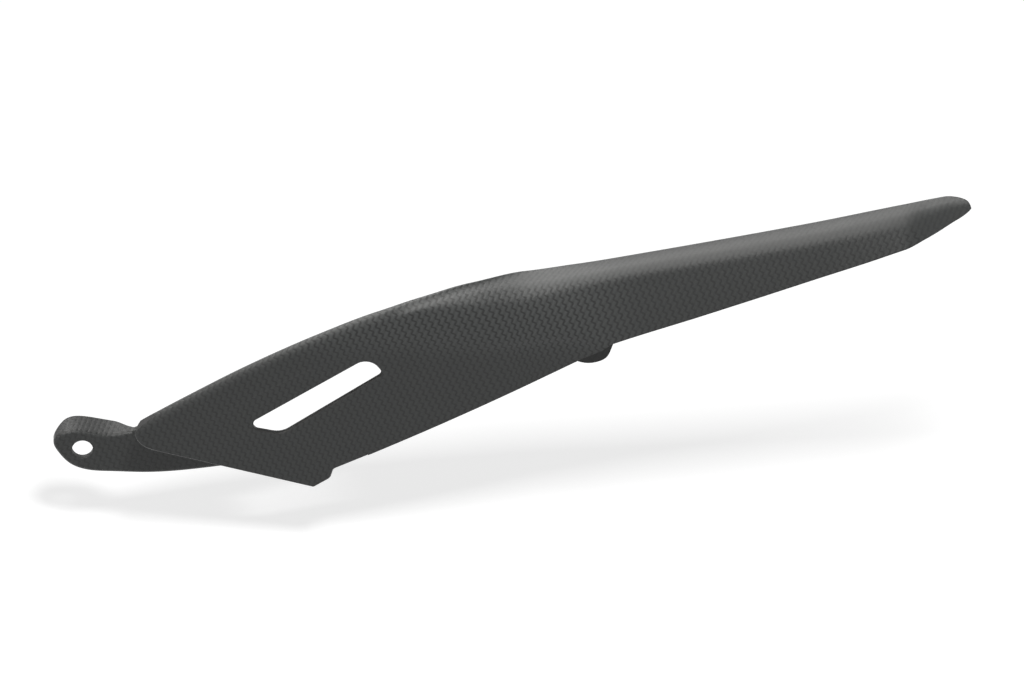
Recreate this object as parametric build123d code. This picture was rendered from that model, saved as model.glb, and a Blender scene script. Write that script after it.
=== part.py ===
from build123d import *
import math
import os

os.makedirs("parts", exist_ok=True)

# Laminate
wall = 2.0
pad = 0.3

# Planes across the guard, +Y is the swingarm side
inner_y = 2.0
panel_y = -16.0
crease_y = -12.0

# Front ear and its bolt hole
front_hole_r = 4.2
ear_top = 8.6
ear_bottom = -10.2
ear_nose = -11.6
notch_x = 20.5
arm_bottom = -11.6
flange_depth = 11.2
flange_bend = 1.8

# Rear lug and its bolt hole
lug_x = 203.5
lug_z = 49.0
lug_low = 8.4
lug_front = 7.2
lug_back = 6.4
lug_round = 5.5
rear_hole_r = 3.3

# Stations along the guard
start_x = 12.0
front_x = 40.0
waist_x = 67.0
rise_x = 95.0
bulge_x = 118.0
ledge_x = 135.0
shoulder_x = 155.0
kink_x = 177.0
neck_x = 197.0
beam_x = 212.0
slim_x = 247.0
tail_x = 290.0
bend_x = 329.0
taper_x = 340.0
point_x = 350.0
end_x = 362.0

# Lower edge of the panel and of the beam
nose_x = 21.2
nose_z = 17.1
foot_x = 92.4
foot_z = -8.0
step_x = 100.3
step_z = 0.6
beam_low_z = 62.9
tip_x = 356.4
tip_z = 117.9
beam_sag = 0.5
hem_x = 197.5
hem_z = 52.8
hem_sag = 1.5
kick_z = 105.6
kick_sag = 1.9

# Slot window corners, from its lowest corner
slot_x = 79.5
slot_z = 17.4
slot_reach = 41.2
slot_climb = 28.6
slot_heel = 14.9
slot_peak = 31.8
slot_peak_z = 34.8
slot_round = 8.0
slot_crook = 5.0
slot_nip = 1.4
slot_tail = 2.4

# Roof and inner lip
roof_drop = 12.0
beam_drop = 6.0
roll = 4.5
roll_in = 2.5
lip = 14.0
joggle = 1.2

# Crown of the ledge along the beam
crown = 1.2
crown_in = 6.5


def slope(line, i, c):
    a = max(i - 1, 0)
    b = min(i + 1, len(line) - 1)
    if a == i or b == i:
        return (line[b][c] - line[a][c]) / (line[b][0] - line[a][0])
    left = (line[i][c] - line[a][c]) / (line[i][0] - line[a][0])
    right = (line[b][c] - line[i][c]) / (line[b][0] - line[i][0])
    return 2 * left * right / (left + right) if left * right > 0 else 0.0


def along(line, x):
    i = max(k for k in range(len(line) - 1) if k == 0 or line[k][0] <= x)
    a, b = line[i], line[i + 1]
    h = b[0] - a[0]
    s = (x - a[0]) / h
    e = s * s * (3 - 2 * s)
    p = h * s * (1 - s) ** 2
    q = h * s * s * (s - 1)
    return [a[c] + e * (b[c] - a[c]) + p * slope(line, i, c) + q * slope(line, i + 1, c) for c in (1, 2)]


# Guide lines as (x, y, z)
ridge = [
    (start_x, panel_y + roll_in, 15.6),
    (front_x, panel_y + roll_in, 33.4),
    (waist_x, panel_y + roll_in, 49.6),
    (rise_x, panel_y + roll_in, 64.3),
    (bulge_x, panel_y + 2.7, 74.6),
    (ledge_x, panel_y + 4.8, 80.0),
    (shoulder_x, inner_y - 8.5, 84.0),
    (kink_x, inner_y - 1.0, 85.0),
    (neck_x, inner_y, 87.9),
    (beam_x, inner_y, 90.8),
    (tail_x, inner_y, 107.3),
    (bend_x, inner_y, 116.5),
    (end_x, inner_y, 123.6),
]
shelf = [
    (bulge_x, panel_y, 74.6 - roll),
    (ledge_x, panel_y + 2.6, 77.8),
    (shoulder_x, inner_y - 9.8, 82.4),
    (kink_x, inner_y - 3.5, 84.4),
    (neck_x, inner_y - 0.8 * crown_in, 87.9 + 0.6 * crown),
    (beam_x, inner_y - crown_in, 90.8 + crown),
    (tail_x, inner_y - crown_in, 107.0 + crown),
    (bend_x, inner_y - 0.8 * crown_in, 116.1 + 0.6 * crown),
    (taper_x, inner_y - 3.2, 118.4),
    (end_x, inner_y - 2.7, 122.8),
]
crease = [
    (start_x, panel_y, 5.0),
    (bulge_x, panel_y, 66.5),
    (ledge_x, panel_y + 0.2, 76.3),
    (shoulder_x, panel_y + 2.5, 80.2),
    (kink_x, crease_y - 0.3, 83.7),
    (beam_x, crease_y, 90.4),
    (tail_x, crease_y, 106.2),
    (bend_x, crease_y, 115.0),
    (taper_x, crease_y + 5.6, 117.5),
    (point_x, crease_y + 8.4, 119.6),
    (end_x, crease_y + 8.4, 121.8),
]
fold = [
    (start_x, panel_y, -3.0),
    (bulge_x, panel_y, 56.5),
    (ledge_x, panel_y - 0.3, 58.0),
    (shoulder_x, panel_y - 1.0, 60.5),
    (kink_x, panel_y - 2.0, 63.9),
    (neck_x, panel_y - 2.4, 66.4),
    (beam_x, panel_y - 4.4, 61.5),
    (slim_x, panel_y - 3.2, 72.5),
    (tail_x, panel_y - 1.2, 88.3),
    (bend_x, panel_y + 0.7, 103.5),
    (taper_x, panel_y + 6.2, 106.0),
    (point_x, panel_y + 10.0, 110.0),
    (end_x, panel_y + 10.4, 112.6),
]
skirt = [
    (start_x, panel_y, -7.0),
    (bulge_x, panel_y, 53.5),
    (ledge_x, panel_y - 0.1, 55.5),
    (shoulder_x, panel_y - 1.0 + 0.5 * joggle, 58.5),
    (kink_x, panel_y - 2.0 + joggle, 62.1),
    (neck_x, panel_y - 2.4 + joggle, 64.6),
    (beam_x, panel_y - 5.0, 59.5),
    (slim_x, panel_y - 3.8, 70.5),
    (tail_x, panel_y - 1.8, 86.3),
    (bend_x, panel_y + 0.1, 101.5),
    (taper_x, panel_y + 5.6, 104.0),
    (point_x, panel_y + 9.4, 108.0),
    (end_x, panel_y + 9.8, 110.6),
]
hem = [
    (start_x, panel_y, -14.0),
    (rise_x, panel_y, -14.0),
    (bulge_x, panel_y, 3.0),
    (kink_x, panel_y - 0.6, 35.0),
    (neck_x, panel_y - 1.2, 46.0),
    (beam_x, panel_y - 5.9, 56.5),
    (slim_x, panel_y - 4.7, 67.5),
    (tail_x, panel_y - 2.7, 83.3),
    (bend_x, panel_y - 0.8, 98.5),
    (taper_x, panel_y + 4.7, 101.0),
    (point_x, panel_y + 8.5, 105.0),
    (end_x, panel_y + 8.9, 107.6),
]
drop = [
    (start_x, roof_drop, lip),
    (bulge_x, roof_drop, lip),
    (ledge_x, roof_drop - 1.0, lip),
    (shoulder_x, roof_drop - 3.5, lip),
    (kink_x, beam_drop, lip),
    (bend_x, beam_drop, lip / 2),
    (point_x, 4.4, 3.2),
    (end_x, 4.2, 3.0),
]
setbacks = [3.0, 3.4, 3.2, 6.0, 1.8, 1.8]


def corners(x):
    ry, rz = along(ridge, x)
    fall, depth = along(drop, x)
    sy, sz = along(shelf, x) if x >= bulge_x else (panel_y, rz - roll)
    top = rz - fall
    line = [(inner_y, top - depth), (inner_y, top), (ry, rz), (sy, sz)]
    return line + [along(g, x) for g in (crease, fold, skirt, hem)]


def unit(a, b):
    d = math.hypot(b[0] - a[0], b[1] - a[1])
    return ((b[0] - a[0]) / d, (b[1] - a[1]) / d, d)


def bend(u, w):
    return math.atan2(u[0] * w[1] - u[1] * w[0], u[0] * w[0] + u[1] * w[1])


def offset_line(line, gap):
    dirs = [unit(a, b) for a, b in zip(line, line[1:])]
    dirs = [dirs[0]] + dirs + [dirs[-1]]
    pts = []
    for k, u, w in zip(line, dirs, dirs[1:]):
        m = gap / (1 + u[0] * w[0] + u[1] * w[1])
        pts.append((k[0] - m * (u[1] + w[1]), k[1] + m * (u[0] + w[0])))
    return pts


def skin(line, gap):
    pts = offset_line(line, gap)
    dirs = [unit(a, b) for a, b in zip(pts, pts[1:])]
    row = [pts[0]]
    for k, u, w, reach in zip(pts[1:], dirs, dirs[1:], setbacks):
        back = max(reach - gap * math.tan(bend(u, w) / 2), 0.5)
        before = min(back, 0.44 * u[2])
        after = min(back, 0.44 * w[2])
        p = (k[0] - before * u[0], k[1] - before * u[1])
        q = (k[0] + after * w[0], k[1] + after * w[1])
        for f in (0.0, 0.25, 0.5, 0.75, 1.0):
            c = (1 - f) ** 2, 2 * f * (1 - f), f * f
            row.append((c[0] * p[0] + c[1] * k[0] + c[2] * q[0], c[0] * p[1] + c[1] * k[1] + c[2] * q[1]))
    return row + [pts[-1]]


# Channel body: lengthwise strips over the outer and inner skins, closed at both ends
spans = [(start_x, bulge_x, 14.0), (bulge_x, beam_x, 6.0), (beam_x, bend_x, 20.0), (bend_x, end_x, 5.6)]
stations = []
for a, b, pitch in spans:
    count = math.ceil((b - a) / pitch)
    stations += [a + (b - a) * k / count for k in range(count)]
stations.append(end_x)
rings = [skin(corners(x), 0.0) + skin(corners(x), wall)[::-1] for x in stations]
rails = []
for j in range(len(rings[0])):
    rails.append(Edge.make_spline([Vector(x, ring[j][0], ring[j][1]) for x, ring in zip(stations, rings)]))
strips = [Face.make_surface_from_curves(a, b) for a, b in zip(rails, rails[1:] + rails[:1])]
for x, ring in ((stations[0], rings[0]), (stations[-1], rings[-1])):
    strips.append(Face(Wire.make_polygon([Vector(x, p[0], p[1]) for p in ring])))
channel = Solid(Shell(strips))

far = 2 * tip_z
clear = 60.0
reach = end_x + clear
plate_near = inner_y - wall - pad
plate_far = inner_y + pad


def prism(face, near_y, far_y):
    return extrude(Pos(0, near_y, 0) * face, amount=far_y - near_y, dir=(0, 1, 0))


def outline(edges):
    return make_face(Plane.XZ * edges)


def rounded(face, corner, radius):
    pick = min(face.vertices(), key=lambda v: math.dist((v.X, v.Z), corner))
    return fillet(pick, radius)


# Side outline kept on the outer wall
nose_top = (nose_x + 12.0, nose_z + 12.8)
nose_end = (nose_x + 17.2, nose_z - 10.3)
foot = (foot_x, foot_z)
step_low = (step_x - 1.2, foot_z + 4.4)
step_top = (step_x, step_z)
hem_end = (hem_x, hem_z)
low_end = (beam_x, beam_low_z)
kick = (bend_x, kick_z)
tip = (tip_x, tip_z)


def between(a, b, sag):
    return ((a[0] + b[0]) / 2, (a[1] + b[1]) / 2 - sag)


nose = Spline(
    nose_top,
    (nose_x + 6.2, nose_z + 6.8),
    (nose_x + 2.2, nose_z + 3.3),
    (nose_x, nose_z),
    (nose_x + 1.9, nose_z - 4.5),
    (nose_x + 10.0, nose_z - 8.4),
    nose_end,
)
foot_line = Polyline(nose_end, foot, step_low, step_top)
hem_line = ThreePointArc(step_top, between(step_top, hem_end, hem_sag), hem_end)
link_line = Line(hem_end, low_end)
beam_line = ThreePointArc(low_end, between(low_end, kick, beam_sag), kick)
kick_line = ThreePointArc(kick, between(kick, tip, kick_sag), tip)
cap_line = Polyline(tip, (tip_x, far), (nose_top[0], far), nose_top)
keep = outline(nose + foot_line + hem_line + link_line + beam_line + kick_line + cap_line)
keep = rounded(keep, foot, 1.2)
keep = rounded(keep, step_low, 3.2)
keep = rounded(keep, step_top, 2.2)
frame_face = outline(Polyline((-clear, -far), (reach, -far), (reach, far), (-clear, far), (-clear, -far)))
waste = prism(frame_face - keep, panel_y - clear, inner_y - wall - 0.4)

# Oblique end of the tip in plan
tip_start = (tip_x - 27.6, inner_y + 1.6)
tip_out = (tip_x + 8.4, inner_y - 21.0)
tip_cut = Spline(
    tip_start,
    (tip_x - 13.6, inner_y - 0.2),
    (tip_x - 4.6, inner_y - 3.4),
    (tip_x, inner_y - 7.4),
    tip_out,
)
tip_side = Polyline(tip_out, (reach, tip_out[1]), (reach, tip_start[1]), tip_start)
tip_waste = extrude(make_face(tip_cut + tip_side), amount=far)

# Slot window
slot_low = (slot_x, slot_z)
slot_right = (slot_x + slot_reach, slot_z + slot_climb)
slot_top = (slot_x + slot_peak, slot_z + slot_peak_z)
slot_left = (slot_x - slot_heel, slot_z + 3.8)
slot = outline(Polyline(slot_low, slot_right, slot_top, slot_left, slot_low))
slot = rounded(slot, slot_low, slot_round)
slot = rounded(slot, slot_top, slot_crook)
slot = rounded(slot, slot_right, slot_nip)
slot = rounded(slot, slot_left, slot_tail)
window = prism(slot, panel_y - clear, inner_y - 2 * wall - 1.0)

# Roof and lip cut back obliquely behind the nose
front_wall = panel_y + wall + 0.2
front_waste = Polyline(
    (nose_x - 1.0, front_wall),
    (nose_x + 14.0, inner_y + 2.0),
    (-clear, inner_y + 2.0),
    (-clear, front_wall),
    (nose_x - 1.0, front_wall),
)
front_waste = extrude(Pos(0, 0, -far) * make_face(front_waste), amount=2 * far)
guard = channel - waste - tip_waste - window - front_waste

# Front ear with its turned-back flange
arm_end = (55.0, -8.6)
notch = (notch_x, 8.9)
rim_points = [
    notch,
    (10.4, 7.0),
    (0.0, ear_top),
    (-7.9, 7.7),
    (ear_nose, 3.2),
    (-9.4, -2.5),
    (-5.1, -7.4),
    (1.0, ear_bottom),
    (12.0, -11.2),
    (24.0, arm_bottom),
    arm_end,
]
core_points = offset_line(rim_points, wall)
heel = Polyline(notch, (30, 13), (50, 22), (62, 23), (66, 13), (64, 4), arm_end)
block = prism(outline(Spline(*rim_points) + heel), plate_near, flange_depth + 3.0)
near_edges = [e for e in block.edges() if abs(e.center().Y - plate_near) < 0.01]
block = fillet([e for e in near_edges if e.geom_type == GeomType.BSPLINE], flange_bend)
core_face = outline(Spline(*core_points) + Line(core_points[-1], core_points[0]))
ear = block - prism(core_face, plate_far, clear)
plan = Spline(
    (-14.0, plate_far),
    (-11.0, 0.46 * flange_depth),
    (-7.0, 0.84 * flange_depth),
    (0.0, 0.99 * flange_depth),
    (7.0, flange_depth),
    (13.0, 0.85 * flange_depth),
    (17.5, 0.46 * flange_depth),
    (notch_x, plate_far),
)
plan_rest = Polyline(
    (notch_x, plate_far),
    (90, plate_far),
    (90, 40),
    (-30, 40),
    (-30, plate_far),
    (-14.0, plate_far),
)
ear = ear - extrude(Pos(0, 0, -40) * make_face(plan + plan_rest), amount=90)
under = Plane.YZ * Polyline((plate_far, -40), (plate_far, -1), (40, 20), (40, -40), (plate_far, -40))
ear = ear - extrude(Pos(-40, 0, 0) * make_face(under), amount=130, dir=(1, 0, 0))

# Rear lug hanging from the inner lip
lug_left = (lug_x - lug_front, lug_z - lug_low)
lug_right = (lug_x + lug_back, lug_z - lug_low)
stem_right = (lug_x + lug_back + 8.6, lug_z + 28.0)
stem_left = (lug_x - lug_front - 7.8, lug_z + 23.0)
stem = outline(Polyline(lug_left, lug_right, stem_right, stem_left, lug_left))
stem = rounded(stem, lug_left, lug_round)
stem = rounded(stem, lug_right, lug_round)
lug = prism(stem, plate_near, plate_far)

# Bolt holes
front_hole = prism(Plane.XZ * Circle(front_hole_r), plate_near - 1, plate_far + 1)
rear_hole = prism(Plane.XZ * Pos(lug_x, lug_z) * Circle(rear_hole_r), plate_near - 1, plate_far + 1)

guard = guard + ear + lug - front_hole - rear_hole
guard = Pos(0, wall / 2 - inner_y, 0) * guard
export_step(guard, "parts/chain_guard.step")
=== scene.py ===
import math
import bpy
import numpy as np
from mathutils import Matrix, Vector


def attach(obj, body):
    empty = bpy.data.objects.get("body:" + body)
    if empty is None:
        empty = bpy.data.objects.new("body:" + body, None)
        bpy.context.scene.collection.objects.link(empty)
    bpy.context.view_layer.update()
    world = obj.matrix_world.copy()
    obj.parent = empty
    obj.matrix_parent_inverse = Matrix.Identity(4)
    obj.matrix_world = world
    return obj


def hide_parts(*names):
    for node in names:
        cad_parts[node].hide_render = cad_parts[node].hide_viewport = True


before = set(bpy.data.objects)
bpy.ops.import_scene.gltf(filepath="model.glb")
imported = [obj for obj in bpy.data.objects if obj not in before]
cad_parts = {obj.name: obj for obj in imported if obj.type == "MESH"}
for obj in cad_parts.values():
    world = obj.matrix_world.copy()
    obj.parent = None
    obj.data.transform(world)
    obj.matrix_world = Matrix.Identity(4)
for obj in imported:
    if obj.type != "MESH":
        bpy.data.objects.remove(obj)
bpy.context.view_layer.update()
mm = 0.001
tiny = 1e-6


def only(piece):
    bpy.ops.object.select_all(action="DESELECT")
    bpy.context.view_layer.objects.active = piece
    piece.select_set(True)


def applyAll(piece):
    only(piece)
    for name in [m.name for m in piece.modifiers]:
        bpy.ops.object.modifier_apply(modifier=name)


def carve(piece, tool, how="DIFFERENCE"):
    cut = piece.modifiers.new("cut", "BOOLEAN")
    cut.operation = how
    cut.solver = "EXACT"
    cut.object = tool
    applyAll(piece)
    bpy.data.objects.remove(tool)


# merges what the cuts left double, and splits many-sided faces so that none is left without area
def cleanUp(piece, gap=0.004):
    only(piece)
    bpy.ops.object.mode_set(mode="EDIT")
    bpy.ops.mesh.select_all(action="SELECT")
    bpy.ops.mesh.remove_doubles(threshold=gap * mm)
    bpy.ops.mesh.select_mode(type="FACE")
    bpy.ops.mesh.select_all(action="DESELECT")
    bpy.ops.mesh.select_face_by_sides(number=4, type="GREATER")
    bpy.ops.mesh.quads_convert_to_tris(quad_method="BEAUTY", ngon_method="BEAUTY")
    bpy.ops.mesh.select_all(action="SELECT")
    bpy.ops.mesh.dissolve_degenerate(threshold=gap * mm)
    bpy.ops.mesh.normals_make_consistent(inside=False)
    bpy.ops.object.mode_set(mode="OBJECT")


# cloth lay in mm and degrees: its angle changes slowly from the front panel to the beam
cloth = {
    "tow": 2.0,
    "frontAngle": -13.0,
    "beamAngle": -24.0,
    "frontX": 40.0,
    "beamX": 190.0,
    "midZ": 50.0,
    "reach": (-60.0, 420.0),
    "step": 0.5,
}

# colours of the gap between tows, darkened as painted shade, the side of a tow, and a painted highlight along
# its ridge; widths in tows, places on the part in m
carbon = {
    "gap": (0.0085, 0.0090, 0.0088, 1),
    "side": (0.0295, 0.0309, 0.0302, 1),
    "ridge": (0.0420, 0.0440, 0.0430, 1),
    "gapWidth": 0.34,
    "gapHeight": -0.6,
    "ridgeAt": 0.45,
    "ridgeWidth": 0.5,
    "ridgeHeight": 0.4,
    "plainGapShade": 0.65,
    "plainHighlight": 0.4,
    "paintedShoulderLight": 0.36,
    "shoulderX": (0.190, 0.235),
    "shoulderZ": (0.050, 0.066),
    "ledgeCalm": 0.7,
    "ledgeX": (0.140, 0.180),
    "ledgeY": (-0.0130, -0.0105),
    "paintedTipLight": 0.32,
    "tipX": (0.316, 0.346),
    "uneven": 0.8,
    "unevenScale": 0.7,
    "fibre": 0.30,
    "fibreAcross": 13.0,
    "fibreAlong": 0.6,
    "fibreHeight": 0.12,
    "cloud": 0.16,
    "cloudScale": 70.0,
    "relief": 0.13,
    "roughness": 0.46,
    "roughnessSpread": 0.08,
    "specular": 0.2,
    "coat": 0.36,
    "coatRoughness": 0.4,
    "edge": 0.6,
}
# back of the cloth: rougher and darker, with little gloss
inside = dict(
    carbon,
    side=(0.025, 0.0258, 0.0254, 1),
    ridge=(0.034, 0.0352, 0.0346, 1),
    relief=0.16,
    roughness=0.54,
    specular=0.3,
    coat=0.08,
)
cutEdge = {
    "dark": (0.012, 0.012, 0.012, 1),
    "light": (0.034, 0.034, 0.033, 1),
    "runScale": 200.0,
    "plyScale": 3000.0,
    "plyFrom": 0.35,
    "plyTo": 0.65,
    "bump": 0.6,
    "relief": 0.05,
    "roughness": 0.55,
    "specular": 0.3,
    "edge": 0.6,
}
# lower edge of the nose, painted light grey as a painted highlight where its rounded edge catches the light
noseHighlightRim = dict(cutEdge, dark=(0.13, 0.13, 0.13, 1), light=(0.19, 0.19, 0.19, 1))


def startFinish(name):
    mat = bpy.data.materials.new(name)
    mat.use_nodes = True
    return mat, mat.node_tree.nodes, mat.node_tree.links, mat.node_tree.nodes["Principled BSDF"]


# small helper for node sums: numbers go on the socket, outputs are linked
def nodeMaths(mat):
    nodes, links = mat.node_tree.nodes, mat.node_tree.links

    def calc(kind, *values):
        n = nodes.new("ShaderNodeMath")
        n.operation = kind
        for socket, value in zip(n.inputs, values):
            if isinstance(value, (int, float)):
                socket.default_value = value
            else:
                links.new(value, socket)
        return n.outputs[0]

    def blend(amount, a, b):
        n = nodes.new("ShaderNodeMix")
        n.data_type = "RGBA"
        links.new(amount, n.inputs[0])
        for socket, value in zip((n.inputs[6], n.inputs[7]), (a, b)):
            if isinstance(value, tuple):
                socket.default_value = value
            else:
                links.new(value, socket)
        return n.outputs[2]

    def ramp(value, low, high):
        n = nodes.new("ShaderNodeMapRange")
        n.interpolation_type = "SMOOTHSTEP"
        links.new(value, n.inputs[0])
        n.inputs[1].default_value, n.inputs[2].default_value = low, high
        return n.outputs[0]

    def noise(vector, scale, detail):
        n = nodes.new("ShaderNodeTexNoise")
        links.new(vector, n.inputs["Vector"])
        n.inputs["Scale"].default_value = scale
        n.inputs["Detail"].default_value = detail
        return n.outputs[0]

    def point(x, y):
        n = nodes.new("ShaderNodeCombineXYZ")
        links.new(x, n.inputs[0])
        links.new(y, n.inputs[1])
        return n.outputs[0]

    def roundEdge(radius, samples=4):
        n = nodes.new("ShaderNodeBevel")
        n.samples = samples
        n.inputs["Radius"].default_value = radius * mm
        return n.outputs[0]

    return calc, blend, ramp, noise, point, roundEdge


# plain weave in the cloth's own UV map, one unit of p and q for each tow
def weaveMaterial(name, c):
    mat, nodes, links, shader = startFinish(name)
    calc, blend, ramp, noise, point, roundEdge = nodeMaths(mat)
    uvNode = nodes.new("ShaderNodeUVMap")
    uvNode.uv_map = "UVMap"
    split = nodes.new("ShaderNodeSeparateXYZ")
    links.new(uvNode.outputs[0], split.inputs[0])
    p = calc("DIVIDE", split.outputs[0], cloth["tow"] * mm)
    q = calc("DIVIDE", split.outputs[1], cloth["tow"] * mm)
    over = calc("PINGPONG", calc("ADD", calc("FLOOR", p), calc("FLOOR", q)), 1.0)
    under = calc("SUBTRACT", 1.0, over)

    def pick(a, b):
        return calc("ADD", calc("MULTIPLY", over, a), calc("MULTIPLY", under, b))

    # the floats run down the cloth like stairs; the gaps between tows are darkened as painted shade on two of
    # the four sides of each float, as a side light would shade them
    u, v = calc("FRACT", p), calc("FRACT", q)
    near = calc("MINIMUM", u, v)
    far = calc("SUBTRACT", 1.0, calc("MAXIMUM", u, v))
    gap = calc("SUBTRACT", 1.0, ramp(pick(near, far), 0.0, c["gapWidth"]))
    # painted highlight along a line near the same side of every float, as a side light would leave it; the
    # ridge also stands up in the relief
    offRidge = calc("ABSOLUTE", calc("SUBTRACT", u, c["ridgeAt"]))
    ridge = calc("SUBTRACT", 1.0, ramp(offRidge, 0.0, c["ridgeWidth"]))
    height = calc("MULTIPLY_ADD", gap, c["gapHeight"], calc("MULTIPLY", ridge, c["ridgeHeight"]))
    # the shoulder above the slot carries the most painted gap shade and painted ridge highlight
    place = nodes.new("ShaderNodeTexCoord").outputs["Object"]
    spot = nodes.new("ShaderNodeSeparateXYZ")
    links.new(place, spot.inputs[0])
    x, y, z = spot.outputs
    litShoulder = calc("MULTIPLY", ramp(z, *c["shoulderZ"]), calc("SUBTRACT", 1.0, ramp(x, *c["shoulderX"])))
    patches = noise(point(p, q), c["unevenScale"], 1.0)
    uneven = calc("MULTIPLY_ADD", patches, c["uneven"], 1.0 - c["uneven"] / 2)
    gapShadeShow = calc("MULTIPLY", uneven, calc("MULTIPLY_ADD", litShoulder, 1.0 - c["plainGapShade"], c["plainGapShade"]))
    highlightShow = calc("MULTIPLY_ADD", litShoulder, 1.0 - c["plainHighlight"], c["plainHighlight"])
    # painted gap shade and relief are weakened on the ledge, where its bright reflection hides the weave
    ledge = calc("MULTIPLY", ramp(x, *c["ledgeX"]), ramp(y, *c["ledgeY"]))
    calm = calc("MULTIPLY_ADD", ledge, -c["ledgeCalm"], 1.0)
    gapShadeShow, height = calc("MULTIPLY", gapShadeShow, calm), calc("MULTIPLY", height, calm)

    def strands(a, b):
        return noise(point(calc("MULTIPLY", p, a), calc("MULTIPLY", q, b)), 1.0, 2.0)

    fibre = pick(strands(c["fibreAcross"], c["fibreAlong"]), strands(c["fibreAlong"], c["fibreAcross"]))
    cloud = noise(place, c["cloudScale"], 3.0)
    towWithHighlight = blend(calc("MULTIPLY", ridge, highlightShow), c["side"], c["ridge"])
    tone = blend(calc("MULTIPLY", gap, gapShadeShow), towWithHighlight, c["gap"])
    shade = calc("ADD", calc("MULTIPLY_ADD", fibre, c["fibre"], 1.0 - c["fibre"] / 2),
                 calc("MULTIPLY_ADD", cloud, c["cloud"], -c["cloud"] / 2))
    # painted light: the shoulder is painted lighter where it faces up into the light
    shade = calc("MULTIPLY_ADD", litShoulder, c["paintedShoulderLight"], shade)
    # painted light: the tip is painted lighter, standing in for the light on its side
    shade = calc("MULTIPLY_ADD", ramp(x, *c["tipX"]), c["paintedTipLight"], shade)
    colour = nodes.new("ShaderNodeVectorMath")
    colour.operation = "SCALE"
    links.new(tone, colour.inputs[0])
    links.new(shade, colour.inputs["Scale"])
    links.new(colour.outputs[0], shader.inputs["Base Color"])
    soft = roundEdge(c["edge"])
    bump = nodes.new("ShaderNodeBump")
    bump.inputs["Strength"].default_value = 1.0
    bump.inputs["Distance"].default_value = c["relief"] * mm
    links.new(calc("MULTIPLY_ADD", fibre, c["fibreHeight"], height), bump.inputs["Height"])
    links.new(soft, bump.inputs["Normal"])
    links.new(bump.outputs[0], shader.inputs["Normal"])
    links.new(soft, shader.inputs["Coat Normal"])
    roughness = calc("MULTIPLY_ADD", cloud, c["roughnessSpread"], c["roughness"] - c["roughnessSpread"] / 2)
    links.new(roughness, shader.inputs["Roughness"])
    shader.inputs["Specular IOR Level"].default_value = c["specular"]
    shader.inputs["Coat Weight"].default_value = c["coat"]
    shader.inputs["Coat Roughness"].default_value = c["coatRoughness"]
    return mat


# sanded edge of the cut wall, with its plies showing as fine lines
def edgeMaterial(name, c):
    mat, nodes, links, shader = startFinish(name)
    calc, blend, ramp, noise, point, roundEdge = nodeMaths(mat)
    place = nodes.new("ShaderNodeTexCoord").outputs["Object"]
    split = nodes.new("ShaderNodeSeparateXYZ")
    links.new(place, split.inputs[0])
    run = calc("MULTIPLY", split.outputs[0], c["runScale"])
    plies = noise(point(run, calc("MULTIPLY", split.outputs[1], c["plyScale"])), 1.0, 2.0)
    links.new(blend(ramp(plies, c["plyFrom"], c["plyTo"]), c["dark"], c["light"]), shader.inputs["Base Color"])
    bump = nodes.new("ShaderNodeBump")
    bump.inputs["Strength"].default_value = c["bump"]
    bump.inputs["Distance"].default_value = c["relief"] * mm
    links.new(plies, bump.inputs["Height"])
    links.new(roundEdge(c["edge"]), bump.inputs["Normal"])
    links.new(bump.outputs[0], shader.inputs["Normal"])
    shader.inputs["Roughness"].default_value = c["roughness"]
    shader.inputs["Specular IOR Level"].default_value = c["specular"]
    return mat


finishes = [
    weaveMaterial("carbonWeave", carbon),
    weaveMaterial("carbonInside", inside),
    edgeMaterial("carbonEdge", cutEdge),
    edgeMaterial("carbonRimPaintedHighlight", noseHighlightRim),
]
outerCloth, innerCloth, sawnEdge, paintedHighlightRim = range(len(finishes))
print("finishes made", len(finishes))


def dress(piece, which):
    piece.data.materials.clear()
    for mat in finishes:
        piece.data.materials.append(mat)
    piece.data.polygons.foreach_set("material_index", [which] * len(piece.data.polygons))


# smooth line through a few points, natural ends
def smoothThrough(points, count):
    pts = np.array(points, float)
    gaps = np.linalg.norm(np.diff(pts, axis=0), axis=1)
    t = np.concatenate([[0], np.cumsum(gaps)])
    n = len(t)
    a = np.zeros((n, n))
    b = np.zeros((n, pts.shape[1]))
    a[0, 0] = a[-1, -1] = 1
    for i in range(1, n - 1):
        a[i, i - 1:i + 2] = gaps[i - 1], 2 * (gaps[i - 1] + gaps[i]), gaps[i]
        b[i] = 6 * ((pts[i + 1] - pts[i]) / gaps[i] - (pts[i] - pts[i - 1]) / gaps[i - 1])
    m = np.linalg.solve(a, b)
    line = []
    for s in np.linspace(0, t[-1], count):
        i = min(max(int(np.searchsorted(t, s, side="right")) - 1, 0), n - 2)
        h, f, g = gaps[i], s - t[i], t[i + 1] - s
        line.append(tuple(
            (m[i] * g ** 3 + m[i + 1] * f ** 3) / (6 * h)
            + (pts[i] / h - m[i] * h / 6) * g + (pts[i + 1] / h - m[i + 1] * h / 6) * f
        ))
    return line


# straight line with a sag in its middle
def arcLine(a, b, sag, count):
    f = np.linspace(0, 1, count)
    return [(a[0] + (b[0] - a[0]) * k, a[1] + (b[1] - a[1]) * k - 4 * sag * k * (1 - k)) for k in f]


# soft turn from a to c, heading for b
def bend(a, b, c, count):
    a, b, c = np.array(a), np.array(b), np.array(c)
    return [tuple((1 - k) ** 2 * a + 2 * k * (1 - k) * b + k * k * c) for k in np.linspace(0, 1, count)]


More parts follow.
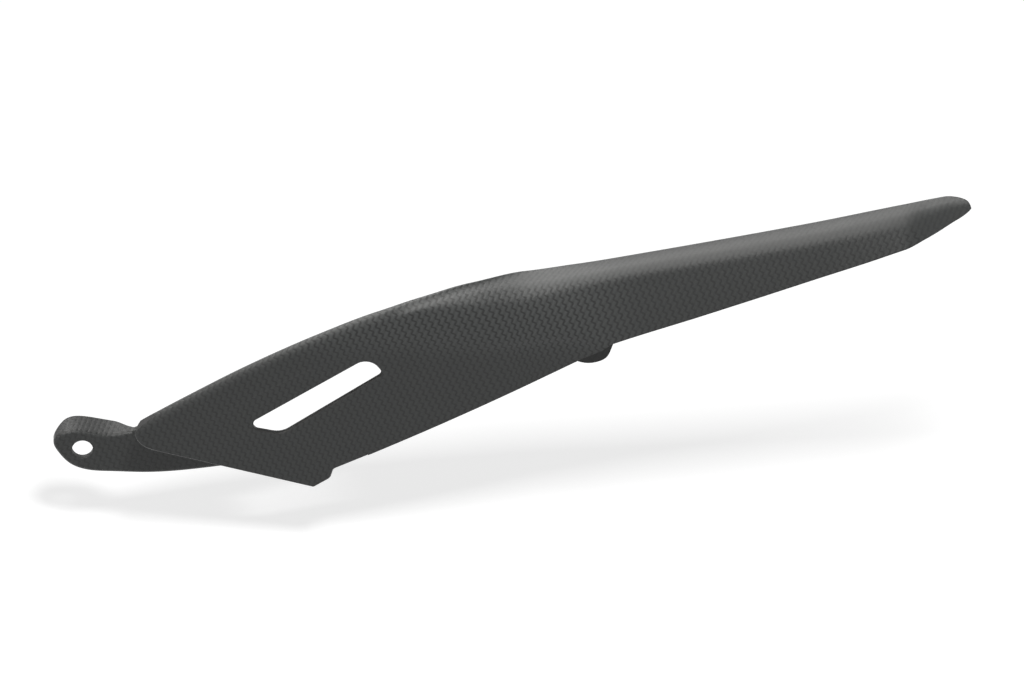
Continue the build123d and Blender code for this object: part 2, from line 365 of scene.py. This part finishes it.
# corner list (x, z, radius) to a closed outline with round corners
def roundCorners(corners, steps=9):
    line = []
    for i, (x, z, r) in enumerate(corners):
        k = Vector((x, z))
        u = (Vector(corners[i - 1][:2]) - k).normalized()
        w = (Vector(corners[(i + 1) % len(corners)][:2]) - k).normalized()
        if r <= 0:
            line.append((x, z))
            continue
        half = u.angle(w) / 2
        centre = k + (u + w).normalized() * r / math.sin(half)
        p = k + u * r / math.tan(half) - centre
        q = k + w * r / math.tan(half) - centre
        for s in range(steps + 1):
            d = (p * (1 - s / steps) + q * s / steps).normalized() * r
            line.append((centre.x + d.x, centre.y + d.y))
    return line


# flat plate from an outline in the side view (XZ) or in plan (XY)
def plateFrom(name, outline, near, far, plan=False, finish=sawnEdge):
    bpy.ops.object.select_all(action="DESELECT")
    bpy.ops.mesh.primitive_circle_add(vertices=len(outline), radius=0.1, fill_type="NGON")
    plate = bpy.context.object
    plate.name = plate.data.name = name
    for vert, (a, b) in zip(plate.data.vertices, outline):
        vert.co = (a * mm, b * mm, near * mm) if plan else (a * mm, near * mm, b * mm)
    push = (0, 0, (far - near) * mm) if plan else (0, (far - near) * mm, 0)
    bpy.ops.object.mode_set(mode="EDIT")
    bpy.ops.mesh.select_all(action="SELECT")
    bpy.ops.mesh.extrude_region_move(TRANSFORM_OT_translate={"value": push})
    bpy.ops.mesh.select_all(action="SELECT")
    bpy.ops.mesh.normals_make_consistent(inside=False)
    bpy.ops.object.mode_set(mode="OBJECT")
    dress(plate, finish)
    return plate


# line beside another, on its left for a gap above 0
def inset(line, gap):
    pts = np.array(line)
    d = np.diff(pts, axis=0)
    d = d / np.linalg.norm(d, axis=1)[:, None]
    u, w = np.vstack([d[:1], d]), np.vstack([d, d[-1:]])
    m = gap / (1 + (u * w).sum(axis=1))
    aside = np.stack([-(u[:, 1] + w[:, 1]), u[:, 0] + w[:, 0]], axis=1)
    return [tuple(p) for p in pts + m[:, None] * aside]


# small flat on a cut edge of the panel, whose face is at y -17; the slope starts outside it
bevel = {"near": -17.4, "far": -16.5, "run": 0.8, "left": -40.0, "low": -60.0, "high": 60.0}


def chamfer(piece, rim, outside, gap, finish):
    tool = plateFrom("chamferTool", rim + outside, bevel["near"], bevel["far"], finish=finish)
    moved = inset(rim, gap)
    for vert in tool.data.vertices:
        spot = np.array([vert.co.x, vert.co.z]) / mm
        away = np.linalg.norm(np.array(rim) - spot, axis=1)
        if abs(vert.co.y - bevel["near"] * mm) < tiny and away.min() < tiny / mm:
            x, z = moved[int(away.argmin())]
            vert.co.x, vert.co.z = x * mm, z * mm
    carve(piece, tool)


# folded channel: guide lines as (x, y, z) in mm, drop as (x, fall of the roof, depth of the lip)
# each fold's setback in mm, and the most that it may take of the flat before it and after it
channel = {
    "wall": 2.0,
    "innerY": 1.0,
    "panelY": -17.0,
    "roll": 4.5,
    "firstX": 12.0,
    "lastX": 362.0,
    "bulgeX": 118.0,
    "stepLength": 1.25,
    "foldSteps": 9,
    "flatSteps": 4,
    "mergeGap": 0.0005,
    "setbacks": [3.0, 3.4, 3.2, 6.0, 9.0, 1.8, 1.8],
    "mostBefore": [0.44, 0.44, 0.44, 0.55, 0.44, 0.44, 0.44],
    "mostAfter": [0.44, 0.44, 0.42, 0.54, 0.44, 0.44, 0.44],
    "leastSetback": 0.5,
    "creaseFold": 3,
    "facetRun": [(118, 4.0), (135, 6.0), (155, 7.0), (190, 5.0), (247, 4.4), (329, 4.4), (362, 3.5)],
    "facetCrown": [(118, 0.3), (140, 1.2), (160, 1.8), (190, 1.2), (220, 0.4), (362, 0.2)],
    "ridge": [
        (12, -14.5, 15.6), (40, -14.5, 33.4), (67, -14.5, 49.6), (95, -14.5, 64.3), (118, -14.3, 74.6),
        (135, -12.2, 80.0), (155, -7.5, 84.0), (177, 0.0, 85.0), (197, 1.0, 87.9), (212, 1.0, 90.8),
        (290, 1.0, 107.3), (329, 1.0, 116.5), (362, 1.0, 123.6),
    ],
    "shelf": [
        (118, -17.0, 70.1), (135, -14.4, 77.8), (155, -8.8, 82.4), (177, -2.5, 84.4), (197, -4.2, 88.2),
        (212, -5.5, 91.3), (290, -5.5, 107.5), (329, -4.2, 116.4), (340, -2.2, 118.4), (362, -1.7, 122.8),
    ],
    "crease": [
        (12, -17.0, 5.0), (118, -17.0, 66.5), (135, -16.9, 76.3), (155, -16.2, 81.3), (177, -13.5, 84.2),
        (212, -11.8, 90.6), (290, -11.6, 106.4), (310, -11.0, 110.95), (329, -9.6, 115.5), (340, -7.0, 117.6),
        (350, -4.9, 119.6), (362, -4.6, 121.8),
    ],
    "fold": [
        (12, -17.0, -3.0), (118, -17.0, 56.5), (135, -17.3, 58.0), (155, -18.0, 60.5), (177, -19.0, 63.9),
        (197, -19.4, 66.4), (212, -21.4, 61.5), (247, -20.2, 72.5), (290, -18.2, 88.3), (329, -16.3, 103.5),
        (340, -10.8, 106.0), (350, -7.0, 110.0), (362, -6.6, 112.6),
    ],
    "skirt": [
        (12, -17.0, -7.0), (118, -17.0, 53.5), (135, -17.1, 54.0), (155, -17.4, 56.2), (177, -17.8, 59.2),
        (197, -18.2, 61.4), (212, -22.0, 59.5), (247, -20.8, 70.5), (290, -18.8, 86.3), (329, -16.9, 101.5),
        (340, -11.4, 104.0), (350, -7.6, 108.0), (362, -7.2, 110.6),
    ],
    "hem": [
        (12, -17.0, -14.0), (95, -17.0, -14.0), (118, -17.0, 3.0), (177, -17.6, 35.0), (197, -18.2, 46.0),
        (212, -22.9, 56.5), (247, -21.7, 67.5), (290, -19.7, 83.3), (329, -17.8, 98.5), (340, -12.3, 101.0),
        (350, -8.5, 105.0), (362, -8.1, 107.6),
    ],
    "drop": [
        (12, 12.0, 14.0), (118, 12.0, 14.0), (135, 11.0, 14.0), (155, 8.5, 14.0), (177, 6.0, 14.0),
        (329, 6.0, 7.0), (350, 4.4, 3.2), (362, 4.2, 3.0),
    ],
}


def slopeAt(line, i, c):
    a, b = max(i - 1, 0), min(i + 1, len(line) - 1)
    if a == i or b == i:
        return (line[b][c] - line[a][c]) / (line[b][0] - line[a][0])
    left = (line[i][c] - line[a][c]) / (line[i][0] - line[a][0])
    right = (line[b][c] - line[i][c]) / (line[b][0] - line[i][0])
    return 2 * left * right / (left + right) if left * right > 0 else 0.0


def guideAt(line, x):
    i = max(k for k in range(len(line) - 1) if k == 0 or line[k][0] <= x)
    a, b = line[i], line[i + 1]
    h = b[0] - a[0]
    s = (x - a[0]) / h
    e, p, q = s * s * (3 - 2 * s), h * s * (1 - s) ** 2, h * s * s * (s - 1)
    return [
        a[c] + e * (b[c] - a[c]) + p * slopeAt(line, i, c) + q * slopeAt(line, i + 1, c)
        for c in (1, 2)
    ]


def sectionAt(x):
    ry, rz = guideAt(channel["ridge"], x)
    fall, depth = guideAt(channel["drop"], x)
    inBulge = x >= channel["bulgeX"]
    shelf = guideAt(channel["shelf"], x) if inBulge else [channel["panelY"], rz - channel["roll"]]
    top = rz - fall
    crease, fold = np.array(guideAt(channel["crease"], x)), np.array(guideAt(channel["fold"], x))
    run = (fold - crease) / np.linalg.norm(fold - crease)
    swell = np.interp(x, *np.array(channel["facetCrown"]).T)
    belly = 0.5 * (crease + fold) + swell * np.array([run[1], -run[0]])
    line = [[channel["innerY"], top - depth], [channel["innerY"], top], [ry, rz], shelf, crease, belly, fold]
    return np.array(line + [guideAt(channel[g], x) for g in ("skirt", "hem")])


# one skin of the wall across the channel, folds rounded, flats divided
def skinAt(line, gap, facetRun):
    c = channel
    d = np.diff(line, axis=0)
    d = d / np.linalg.norm(d, axis=1)[:, None]
    pts = np.array(inset(line, gap))
    lens = np.linalg.norm(np.diff(pts, axis=0), axis=1)
    row, last = [], pts[0]
    for i, reach in enumerate(c["setbacks"]):
        a, b = d[i], d[i + 1]
        turn = math.atan2(a[0] * b[1] - a[1] * b[0], a @ b)
        less = gap * math.tan(turn / 2)
        onward = facetRun if i == c["creaseFold"] else reach
        before, after = max(reach - less, c["leastSetback"]), max(onward - less, c["leastSetback"])
        p = pts[i + 1] - min(before, c["mostBefore"][i] * lens[i]) * a
        q = pts[i + 1] + min(after, c["mostAfter"][i] * lens[i + 1]) * b
        row += [last + (p - last) * k / c["flatSteps"] for k in range(c["flatSteps"])]
        row += bend(p, pts[i + 1], q, c["foldSteps"] + 1)[:-1]
        last = q
    row += [last + (pts[-1] - last) * k / c["flatSteps"] for k in range(c["flatSteps"] + 1)]
    return np.array(row)


# lays the outer skin flat, outwards from the crease, so that the cloth runs round the folds
def flatten(xs, outer, start):
    count = outer.shape[1]
    pos = np.concatenate([np.repeat(xs[:, None, None], count, axis=1), outer], axis=2)
    flat = np.zeros((len(xs), count, 2))
    flat[:, start] = pos[:, start, ::2]
    rail = np.gradient(pos, xs, axis=0)
    for side in (-1, 1):
        j = start
        while 0 <= j + side < count:
            step = pos[:, j + side] - pos[:, j]
            size = np.linalg.norm(step, axis=1)
            both = np.linalg.norm(rail[:, j], axis=1) * np.maximum(size, tiny)
            lean = (rail[:, j] * step).sum(axis=1) / both
            run = np.gradient(flat[:, j], xs, axis=0)
            turn = np.arctan2(run[:, 1], run[:, 0]) - side * np.arccos(np.clip(lean, -1, 1))
            flat[:, j + side] = flat[:, j] + size[:, None] * np.stack([np.cos(turn), np.sin(turn)], axis=1)
            j += side
    return flat


def clothAngle(x):
    f = np.clip((x - cloth["frontX"]) / (cloth["beamX"] - cloth["frontX"]), 0, 1)
    f = f * f * (3 - 2 * f)
    return np.radians(cloth["frontAngle"] + (cloth["beamAngle"] - cloth["frontAngle"]) * f)


clothFrom, clothTo = cloth["reach"]
clothX = np.linspace(clothFrom, clothTo, round((clothTo - clothFrom) / cloth["step"]) + 1)
clothTurn = clothAngle(clothX)
clothU = np.concatenate([[0], np.cumsum(np.cos(clothTurn)[:-1] * np.diff(clothX))])
clothV = np.concatenate([[0], np.cumsum(-np.sin(clothTurn)[:-1] * np.diff(clothX))])


def clothUv(flat):
    x, up = flat[..., 0], flat[..., 1] - cloth["midZ"]
    turn = clothAngle(x)
    u = np.interp(x, clothX, clothU) + up * np.sin(turn)
    v = np.interp(x, clothX, clothV) + up * np.cos(turn)
    return np.stack([u, v], axis=-1) * mm


# cloth on a plate, carried over its flange by adding the depth to the height
def planarCloth(piece):
    pos = np.zeros(len(piece.data.vertices) * 3)
    piece.data.vertices.foreach_get("co", pos)
    pos = pos.reshape(-1, 3) / mm
    flat = np.stack([pos[:, 0], pos[:, 2] + pos[:, 1]], axis=1)
    loops = np.zeros(len(piece.data.loops), int)
    piece.data.loops.foreach_get("vertex_index", loops)
    piece.data.uv_layers[0].data.foreach_set("uv", clothUv(flat)[loops].ravel())


def buildChannel():
    c = channel
    xs = np.linspace(c["firstX"], c["lastX"], round((c["lastX"] - c["firstX"]) / c["stepLength"]) + 1)
    lines = [sectionAt(x) for x in xs]
    runs = np.interp(xs, *np.array(c["facetRun"]).T)
    outer = np.array([skinAt(line, 0.0, run) for line, run in zip(lines, runs)])
    inner = np.array([skinAt(line, c["wall"], run) for line, run in zip(lines, runs)])
    perFold = c["flatSteps"] + c["foldSteps"]
    start = c["creaseFold"] * perFold + c["flatSteps"] + c["foldSteps"] // 2
    uv = clothUv(flatten(xs, outer, start))
    ring = np.concatenate([outer, inner[:, ::-1], outer[:, :1]], axis=1)
    uvRing = np.concatenate([uv, uv[:, ::-1], uv[:, :1]], axis=1)
    across = ring.shape[1]
    bpy.ops.object.select_all(action="DESELECT")
    bpy.ops.mesh.primitive_grid_add(x_subdivisions=len(xs) - 1, y_subdivisions=across - 1, size=1)
    piece = bpy.context.object
    piece.name = piece.data.name = "carbonGuard"
    spots = np.zeros(len(piece.data.vertices) * 3)
    piece.data.vertices.foreach_get("co", spots)
    spots = spots.reshape(-1, 3) + 0.5
    i = np.rint(spots[:, 0] * (len(xs) - 1)).astype(int)
    j = np.rint(spots[:, 1] * (across - 1)).astype(int)
    shaped = np.stack([xs[i], ring[i, j, 0], ring[i, j, 1]], axis=1) * mm
    piece.data.vertices.foreach_set("co", shaped.ravel())
    loops = np.zeros(len(piece.data.loops), int)
    piece.data.loops.foreach_get("vertex_index", loops)
    piece.data.uv_layers[0].data.foreach_set("uv", uvRing[i, j][loops].ravel())
    dress(piece, outerCloth)
    for face in piece.data.polygons:
        if min(j[k] for k in face.vertices) >= outer.shape[1]:
            face.material_index = innerCloth
    piece.data.update()
    only(piece)
    bpy.ops.object.mode_set(mode="EDIT")
    bpy.ops.mesh.select_all(action="SELECT")
    bpy.ops.mesh.remove_doubles(threshold=c["mergeGap"] * mm)
    bpy.ops.mesh.select_all(action="DESELECT")
    bpy.ops.mesh.select_mode(type="EDGE")
    bpy.ops.mesh.select_non_manifold()
    bpy.ops.mesh.fill_holes(sides=0)
    bpy.ops.mesh.select_all(action="SELECT")
    bpy.ops.mesh.normals_make_consistent(inside=False)
    bpy.ops.object.mode_set(mode="OBJECT")
    return piece


guard = buildChannel()
print("channel shaped", len(guard.data.polygons))

# trimmed edge of the outer wall, seen from the side (x, z)
# kickBack, kickOn and tipBack count points of the lines that a turn joins
trim = {
    "nose": [(33.2, 29.9), (27.4, 23.9), (23.4, 20.4), (21.2, 17.1), (23.1, 12.6), (31.2, 8.7), (38.4, 6.8)],
    "noseSteps": 40,
    "foot": [(92.4, -8.0, 1.2), (99.1, -3.6, 3.2), (100.3, 0.6, 2.2)],
    "hemEnd": (197.5, 52.8),
    "hemSag": 1.5,
    "hemSteps": 30,
    "beamLow": (212.0, 62.9),
    "beamSag": 0.5,
    "beamSteps": 40,
    "kick": (329.6, 104.9),
    "kickSag": 1.9,
    "kickBack": 4,
    "kickOn": 5,
    "kickSteps": 10,
    "endSteps": 16,
    "tip": (356.4, 117.3),
    "tipBack": 4,
    "tipRise": 2.4,
    "tipSteps": 8,
    "flatEnd": 116.0,
    "nearY": -80.0,
    "farY": -1.4,
    "left": -60.0,
    "right": 420.0,
    "low": -90.0,
    "top": 240.0,
}


def trimOuter():
    t = trim
    line = smoothThrough(t["nose"], t["noseSteps"])
    foot = roundCorners([line[-1] + (0,)] + t["foot"] + [t["hemEnd"] + (0,)])
    line = line[:-1] + foot[:-1]
    line = line[:-1] + arcLine(line[-1], t["hemEnd"], t["hemSag"], t["hemSteps"])
    rim = list(line)
    beam = arcLine(t["beamLow"], t["kick"], t["beamSag"], t["beamSteps"])
    end = arcLine(t["kick"], t["tip"], t["kickSag"], t["endSteps"])
    tipX, tipZ = t["tip"]
    turn = bend(beam[-t["kickBack"]], t["kick"], end[t["kickOn"]], t["kickSteps"])
    corner = bend(end[-t["tipBack"]], t["tip"], (tipX, tipZ + t["tipRise"]), t["tipSteps"])
    line += beam[:-t["kickBack"]] + turn + end[t["kickOn"] + 1:-t["tipBack"]] + corner
    firstX = t["nose"][0][0]
    line += [(tipX, t["top"]), (t["right"], t["top"]), (t["right"], t["low"])]
    line += [(t["left"], t["low"]), (t["left"], t["top"]), (firstX, t["top"])]
    carve(guard, plateFrom("trimTool", line, t["nearY"], t["farY"]))
    flat = [spot for spot in rim if spot[0] < t["flatEnd"]]
    outside = [(t["flatEnd"], bevel["low"]), (bevel["left"], bevel["low"]), (bevel["left"], bevel["high"])]
    chamfer(guard, flat, outside + [(firstX, bevel["high"])], bevel["run"], paintedHighlightRim)


trimOuter()

# oblique end of the tip in plan (x, y)
tipCut = {
    "plan": [(328.8, 2.6), (342.8, 0.8), (351.8, -2.4), (356.4, -6.4), (364.8, -20.0)],
    "steps": 40,
    "right": 420.0,
    "low": 0.0,
    "high": 240.0,
}
tipLine = smoothThrough(tipCut["plan"], tipCut["steps"])
tipLine += [(tipCut["right"], y) for y in (tipCut["plan"][-1][1], tipCut["plan"][0][1])]
carve(guard, plateFrom("tipTool", tipLine, tipCut["low"], tipCut["high"], plan=True))

# roof and lip cut back obliquely behind the nose, in plan (x, y)
noseCut = {
    "plan": [(20.2, -14.8), (35.2, 3.0), (-60.0, 3.0), (-60.0, -14.8)],
    "low": -240.0,
    "high": 240.0,
}
carve(guard, plateFrom("noseTool", noseCut["plan"], noseCut["low"], noseCut["high"], plan=True))

# slot window in the panel, corners as (x, z, radius)
slot = {
    "corners": [(79.5, 17.4, 8.0), (120.5, 46.2, 2.4), (114.6, 53.9, 6.2), (64.2, 20.6, 2.6)],
    "near": -80.0,
    "far": -4.0,
}
slotLine = roundCorners(slot["corners"])
carve(guard, plateFrom("slotTool", slotLine, slot["near"], slot["far"]))
chamfer(guard, slotLine, [], -bevel["run"], sawnEdge)
print("channel trimmed", len(guard.data.polygons))

# front ear: rim, heel and under from the side (x, z), flange in plan as (x, share of its depth)
ear = {
    "rim": [
        (20.5, 8.9), (10.4, 7.0), (0.0, 8.6), (-7.9, 7.7), (-11.6, 3.2), (-9.4, -2.5), (-5.1, -7.4),
        (1.0, -10.2), (12.0, -11.2), (24.0, -11.6), (55.0, -8.6),
    ],
    "rimSteps": 120,
    "heel": [(64.0, 4.0), (66.0, 13.0), (62.0, 23.0), (50.0, 22.0), (30.0, 13.0)],
    "near": -1.3,
    "far": 1.3,
    "depth": 10.2,
    "spare": 3.0,
    "bend": 1.8,
    "bendSteps": 6,
    "wall": 2.0,
    "hole": 4.2,
    "flange": [(-11.0, 0.46), (-7.0, 0.84), (0.0, 0.99), (7.0, 1.0), (13.0, 0.85), (17.5, 0.46)],
    "flangeSteps": 60,
    "flangeStart": (-14.0, 2.3),
    "flangeEnd": (20.5, 2.3),
    "flangeShift": 1.0,
    "flangeTilt": 0.45,
    "flangeFrom": 0.5,
    "planRight": 90.0,
    "planLeft": -30.0,
    "planHigh": 50.0,
    "coreDepth": 60.0,
    "clearance": 40.0,
    "under": [(-40.0, -40.0), (130.0, -40.0), (130.0, -1.0), (-40.0, -1.0)],
    "underRise": 20.0,
}


def buildEar():
    e = ear
    rim = smoothThrough(e["rim"], e["rimSteps"])
    piece = plateFrom("ear", rim + e["heel"], e["near"], e["depth"] + e["spare"], finish=outerCloth)
    only(piece)
    bpy.ops.object.mode_set(mode="EDIT")
    bpy.ops.mesh.select_mode(type="EDGE")
    bpy.ops.mesh.select_all(action="DESELECT")
    bpy.ops.object.mode_set(mode="OBJECT")
    verts = piece.data.vertices
    for edge in piece.data.edges:
        a, b = edge.vertices
        onRim = a < len(rim) and b < len(rim) and abs(a - b) == 1
        edge.select = onRim and abs(verts[a].co.y - e["near"] * mm) < tiny
    bpy.ops.object.mode_set(mode="EDIT")
    bpy.ops.mesh.bevel(offset=e["bend"] * mm, segments=e["bendSteps"], affect="EDGES")
    bpy.ops.object.mode_set(mode="OBJECT")
    carve(piece, plateFrom("coreTool", inset(rim, e["wall"]), e["far"], e["coreDepth"], finish=innerCloth))
    depth, clear = e["depth"] + e["flangeShift"], e["clearance"]
    plan = [e["flangeStart"]] + [(x, share * depth) for x, share in e["flange"]] + [e["flangeEnd"]]
    line = [(x, y - e["flangeShift"]) for x, y in smoothThrough(plan, e["flangeSteps"])]
    line += [(e["planRight"], e["far"]), (e["planRight"], clear)]
    line += [(e["planLeft"], clear), (e["planLeft"], e["far"])]
    carve(piece, plateFrom("planTool", line, -clear, e["planHigh"], plan=True, finish=innerCloth))
    # takes the flange off below the hole, along a slope that falls towards the plate
    under = plateFrom("underTool", e["under"], e["far"], clear)
    for vert in under.data.vertices:
        if vert.co.y > clear / 2 * mm and vert.co.z > -clear / 2 * mm:
            vert.co.z = e["underRise"] * mm
    carve(piece, under)
    return piece


# both bolt holes are cut with one round tool
bolt = {"sides": 72, "depth": 12.0}


def boltHole(piece, x, z, radius):
    bpy.ops.mesh.primitive_cylinder_add(
        vertices=bolt["sides"], radius=radius * mm, depth=bolt["depth"] * mm,
        rotation=(math.radians(90), 0, 0), location=(x * mm, 0, z * mm),
    )
    dress(bpy.context.object, sawnEdge)
    carve(piece, bpy.context.object)


earPiece = buildEar()
boltHole(earPiece, 0, 0, ear["hole"])
planarCloth(earPiece)
# the flange over the hole shows less gloss than the panel
for face in earPiece.data.polygons:
    if face.normal.z > ear["flangeTilt"] and face.center.y > (ear["near"] + ear["flangeFrom"]) * mm:
        face.material_index = innerCloth
print("ear shaped", len(earPiece.data.polygons))

# rear lug, from the side (x, z)
lug = {
    "x": 203.5,
    "z": 49.0,
    "hole": 3.3,
    "near": -1.3,
    "far": 1.3,
    "round": [
        (192.0, 47.5), (195.3, 43.7), (198.8, 41.8), (202.0, 41.2), (206.0, 41.8), (209.5, 43.8), (211.4, 47.6),
        (212.8, 52.0), (214.4, 58.0),
    ],
    "roundSteps": 40,
    "top": [(218.5, 77.0), (188.5, 72.0)],
}
lugLine = smoothThrough(lug["round"], lug["roundSteps"]) + lug["top"]
lugPiece = plateFrom("lug", lugLine, lug["near"], lug["far"], finish=innerCloth)
boltHole(lugPiece, lug["x"], lug["z"], lug["hole"])
planarCloth(lugPiece)
print("lug shaped", len(lugPiece.data.polygons))

smoothAngle = 32.0
carve(guard, earPiece, "UNION")
carve(guard, lugPiece, "UNION")
cleanUp(guard)
only(guard)
bpy.ops.object.shade_smooth_by_angle(angle=math.radians(smoothAngle))
even = guard.modifiers.new("even", "WEIGHTED_NORMAL")
even.keep_sharp = True
applyAll(guard)
print("ear and lug joined", len(guard.data.polygons))

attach(guard, "root")
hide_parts("chain_guard")
print("guard rides on the root body", [m.name for m in guard.data.materials])


# one level for the rays that see a thing, from the camera or off a gloss, and one for the light it gives
def seenLevel(nodes, links, hidden, seen):
    path = nodes.new("ShaderNodeLightPath")
    level = nodes.new("ShaderNodeMapRange")
    level.inputs["To Min"].default_value, level.inputs["To Max"].default_value = hidden, seen
    rays = path.outputs["Is Camera Ray"]
    for kind in ("Is Glossy Ray", "Is Transmission Ray"):
        either = nodes.new("ShaderNodeMath")
        either.operation = "MAXIMUM"
        links.new(rays, either.inputs[0])
        links.new(path.outputs[kind], either.inputs[1])
        rays = either.outputs[0]
    links.new(rays, level.inputs["Value"])
    return level.outputs[0]


floor = {"x": 0.17, "z": -40.0, "size": 6.0, "glow": 0.70, "tint": 0.5}


# white for the camera and in reflections, a plain pale floor for the light that it gives back
def buildFloor():
    bpy.ops.object.select_all(action="DESELECT")
    bpy.ops.mesh.primitive_plane_add(size=floor["size"], location=(floor["x"], 0, floor["z"] * mm))
    piece = bpy.context.object
    piece.name = "studioFloor"
    mat, nodes, links, shader = startFinish("studioWhite")
    shader.inputs["Base Color"].default_value = (floor["tint"], floor["tint"], floor["tint"], 1)
    shader.inputs["Roughness"].default_value = 1.0
    shader.inputs["Specular IOR Level"].default_value = 0.0
    shader.inputs["Emission Color"].default_value = (1, 1, 1, 1)
    links.new(seenLevel(nodes, links, 0.0, floor["glow"]), shader.inputs["Emission Strength"])
    piece.data.materials.append(mat)


buildFloor()
print("floor laid")

# the panel is a broad ceiling light on the left that shows only in reflections, the key only lights
studio = {
    "air": 0.25,
    "panel": {
        "place": (-0.69, 0.15, 1.5), "aim": (-0.69, 0.15, 0.0), "width": 1.22, "height": 4.7, "power": 96.0,
        "tint": (1, 0.985, 0.965),
    },
    "key": {
        "place": (0.4, -1.14, 2.05), "aim": (0.17, 0.0, 0.05), "width": 0.45, "height": 0.45, "power": 34.0,
        "tint": (1, 1, 1),
    },
}


def softBox(name, place, aim, width, height, power, tint):
    bpy.ops.object.light_add(type="AREA", location=place)
    lamp = bpy.context.object
    lamp.name = name
    lamp.data.shape = "RECTANGLE"
    lamp.data.size, lamp.data.size_y = width, height
    lamp.data.energy = power
    lamp.data.color = tint
    lamp.rotation_euler = (Vector(aim) - Vector(place)).to_track_quat("-Z", "Y").to_euler()
    return lamp


softBox("ceilingPanel", **studio["panel"]).visible_diffuse = False
softBox("keyBox", **studio["key"]).visible_glossy = False

world = bpy.data.worlds.new("studioAir")
world.use_nodes = True
bpy.context.scene.world = world
sky = world.node_tree.nodes["Background"]
sky.inputs["Color"].default_value = (1, 1, 1, 1)
air = seenLevel(world.node_tree.nodes, world.node_tree.links, studio["air"], 1.0)
world.node_tree.links.new(air, sky.inputs["Strength"])

view = {"elevation": 33.0, "width": 0.4096, "aim": (0.1718, -0.001, 0.05151), "distance": 2.0}


def placeCamera():
    e = math.radians(view["elevation"])
    back = Vector((0, -math.cos(e), math.sin(e)))
    bpy.ops.object.camera_add(location=Vector(view["aim"]) + back * view["distance"])
    cam = bpy.context.object
    cam.rotation_euler = (-back).to_track_quat("-Z", "Y").to_euler()
    cam.data.type = "ORTHO"
    cam.data.ortho_scale = view["width"]
    bpy.context.scene.camera = cam


placeCamera()
bpy.context.scene.view_settings.view_transform = "Standard"
print("studio set")
